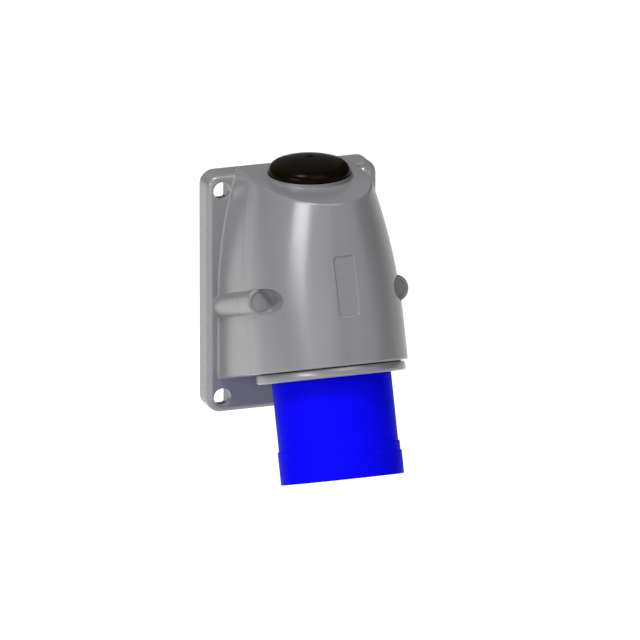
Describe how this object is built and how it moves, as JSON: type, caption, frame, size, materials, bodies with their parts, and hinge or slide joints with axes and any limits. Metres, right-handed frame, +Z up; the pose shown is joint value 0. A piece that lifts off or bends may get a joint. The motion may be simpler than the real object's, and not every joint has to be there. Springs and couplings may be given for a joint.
{
  "type": "wall-mounted pin and sleeve inlet",
  "caption": "Surface-mounted power inlet: wall plate, bowed grey hood with domed cable entry, and an angled blue shroud round its contact pins.",
  "frame": {"origin": "on the wall plane, at the centre of the plate's back face", "axes": "+Y into the wall, +Z up, +X to the right; the inlet stands out of the wall towards -Y and its mouth points down and forward"},
  "size_m": [0.075, 0.0963, 0.1368],
  "materials": {
    "grey_plastic": "satin moulded",
    "blue_plastic": "satin moulded",
    "cap_rubber": "soft sheen",
    "seal_rubber": "matte",
    "insert_plastic": "matte moulded",
    "brass": "turned",
    "zinc_steel": "zinc plated"
  },
  "bodies": {
    "root": {"mounting_base": "grey_plastic", "front_cover": "grey_plastic", "inlet_collar": "grey_plastic", "screw_plugs": "grey_plastic", "inlet_sleeve": "blue_plastic", "entry_cap": "cap_rubber", "collar_gasket": "seal_rubber", "cover_gasket": "seal_rubber", "sleeve_seal": "seal_rubber", "screw_seals": "seal_rubber", "contact_carrier": "insert_plastic", "pin_retainer": "insert_plastic", "line_pin": "brass", "neutral_pin": "brass", "earth_pin": "brass", "boss_inserts": "brass", "terminal_screws": "zinc_steel", "retainer_screws": "zinc_steel", "carrier_screws": "zinc_steel", "cover_screws": "zinc_steel"}
  },
  "joints": []
}
